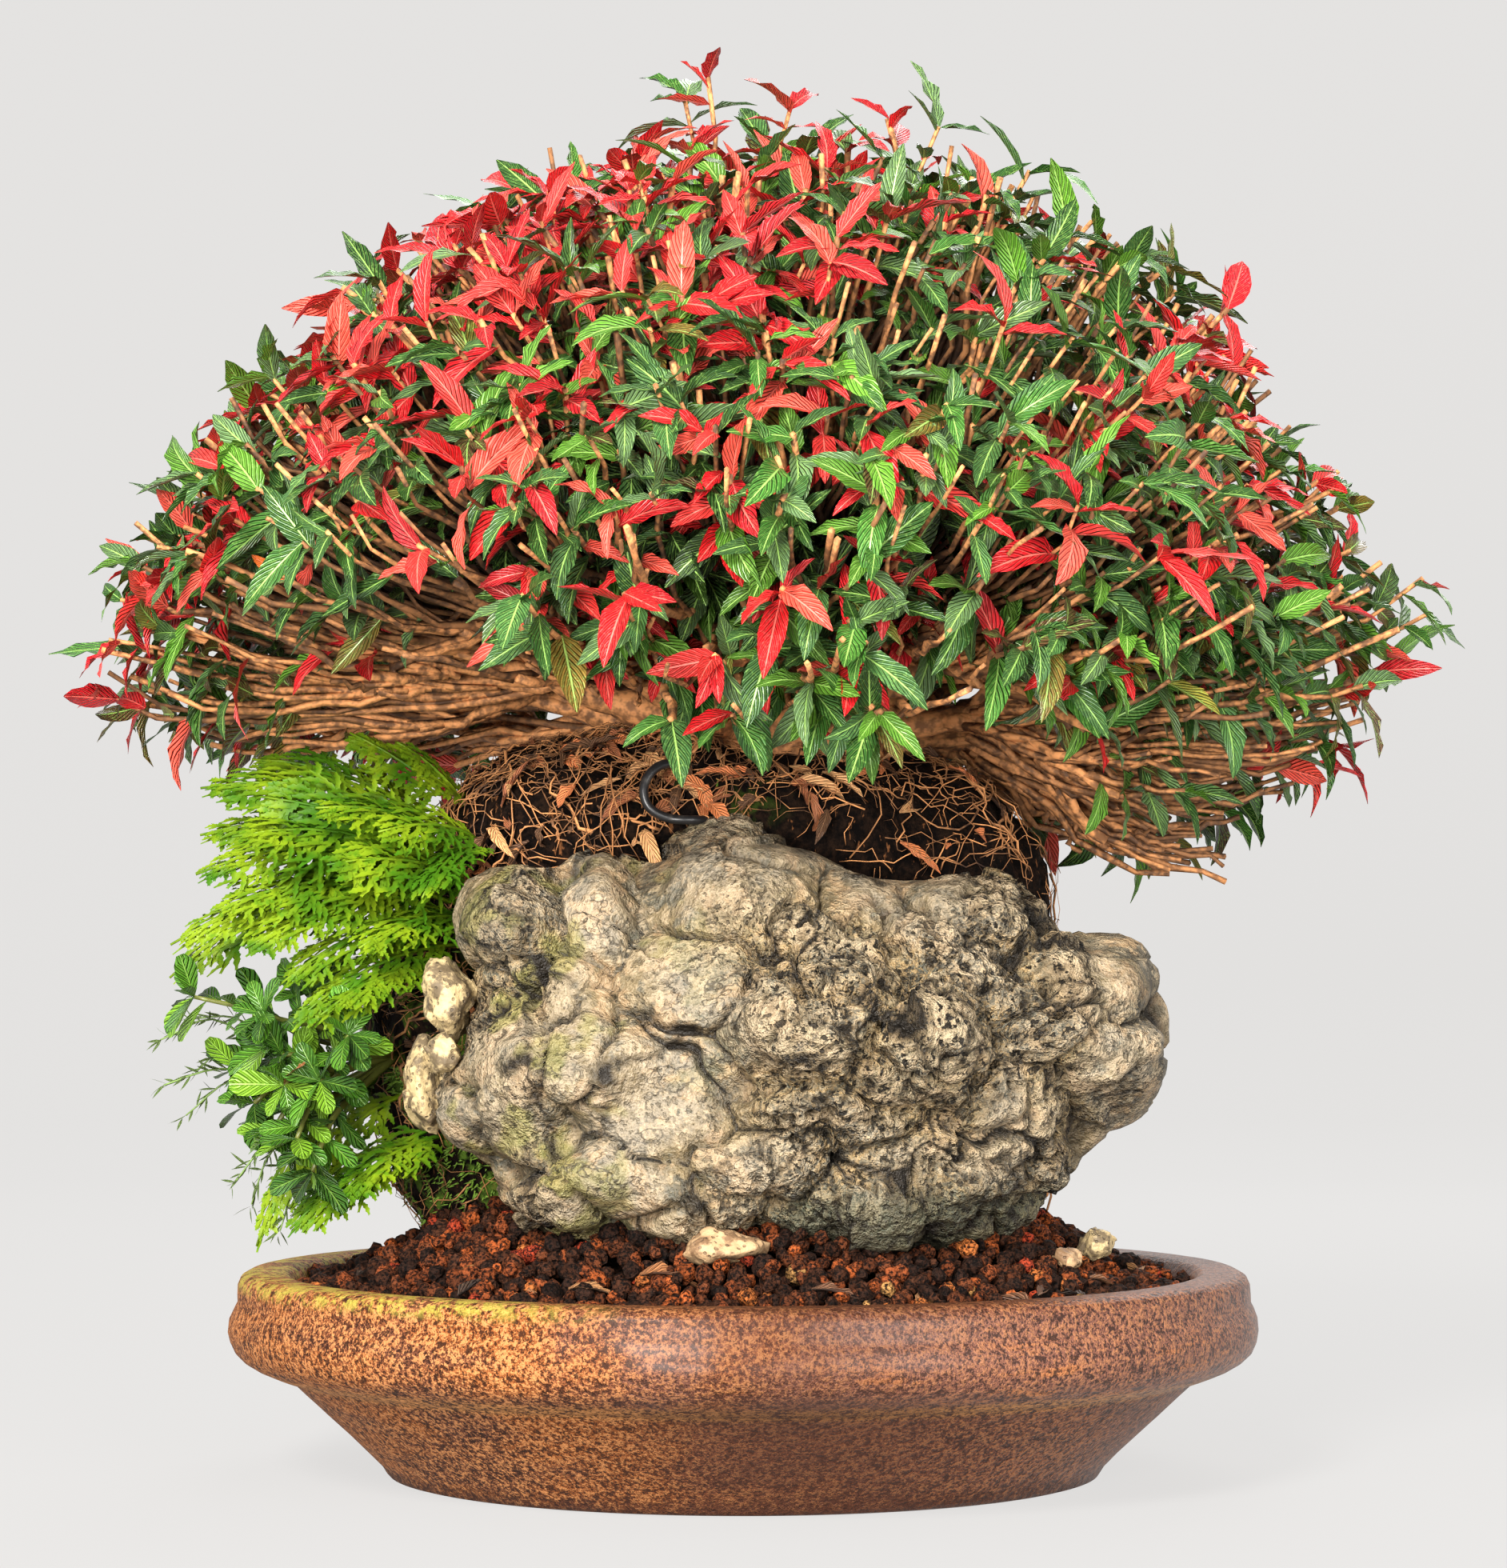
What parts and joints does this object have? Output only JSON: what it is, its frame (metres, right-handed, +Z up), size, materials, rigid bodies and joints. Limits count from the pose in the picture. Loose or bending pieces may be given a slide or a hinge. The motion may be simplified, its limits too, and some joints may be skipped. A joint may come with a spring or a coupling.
{
  "type": "asiatic jasmine bonsai",
  "caption": "Dwarf jasmine clump with green and red leaves, grown over a pitted stone with moss and a seedling, in a shallow round stoneware pot",
  "frame": {"origin": "middle of the pot's flat foot, on the surface it stands on", "axes": "+Z up, +X to the right as seen from the front, +Y from the front, where the stone shows, to the back"},
  "size_m": [0.3406, 0.3206, 0.3431],
  "materials": {
    "stoneware": "matte",
    "black_plastic": "matte",
    "lava_gravel": "matte",
    "peat_roots": "matte",
    "grey_stone": "matte",
    "pale_stone": "matte",
    "tan_stone": "matte",
    "black_wire": "satin",
    "bark": "matte",
    "green_leaf": "satin",
    "red_leaf": "satin",
    "spikemoss": "satin",
    "seedling_leaf": "satin",
    "grass": "satin",
    "fallen_leaf": "matte"
  },
  "bodies": {
    "root": {"drain_mesh_left": "black_plastic", "drain_mesh_right": "black_plastic", "fallen_leaf_1": "fallen_leaf", "fallen_leaf_2": "fallen_leaf", "grass_strands": "grass", "green_shoot_01": "green_leaf", "green_shoot_02": "green_leaf", "green_shoot_03": "green_leaf", "green_shoot_05": "green_leaf", "green_shoot_06": "green_leaf", "green_shoot_07": "green_leaf", "green_shoot_08": "green_leaf", "green_shoot_10": "green_leaf", "green_shoot_12": "green_leaf", "green_shoot_13": "green_leaf", "green_shoot_14": "green_leaf", "green_shoot_15": "green_leaf", "green_shoot_16": "green_leaf", "green_shoot_17": "green_leaf", "green_shoot_19": "green_leaf", "green_shoot_20": "green_leaf", "green_shoot_22": "green_leaf", "green_shoot_23": "green_leaf", "green_shoot_24": "green_leaf", "green_shoot_25": "green_leaf", "green_shoot_26": "green_leaf", "pot": "stoneware", "red_shoot_04": "red_leaf", "red_shoot_09": "red_leaf", "red_shoot_11": "red_leaf", "red_shoot_18": "red_leaf", "red_shoot_21": "red_leaf", "red_shoot_27": "red_leaf", "red_shoot_28": "red_leaf", "root_ball": "peat_roots", "seedling": "seedling_leaf", "soil": "lava_gravel", "soil_pebble_large": "pale_stone", "soil_pebble_small": "tan_stone", "spikemoss_frond_01": "spikemoss", "spikemoss_frond_02": "spikemoss", "spikemoss_frond_03": "spikemoss", "spikemoss_frond_04": "spikemoss", "spikemoss_frond_05": "spikemoss", "spikemoss_frond_06": "spikemoss", "spikemoss_frond_07": "spikemoss", "spikemoss_frond_08": "spikemoss", "spikemoss_frond_09": "spikemoss", "spikemoss_frond_10": "spikemoss", "spikemoss_frond_11": "spikemoss", "spikemoss_frond_hanging": "spikemoss", "spikemoss_frond_low": "spikemoss", "stone": "grey_stone", "trunks": "bark", "wedge_stone_long": "pale_stone", "wedge_stone_round": "pale_stone", "wedge_stone_tan": "tan_stone", "wedge_stone_upper": "pale_stone", "wire_staple": "black_wire"}
  },
  "joints": []
}
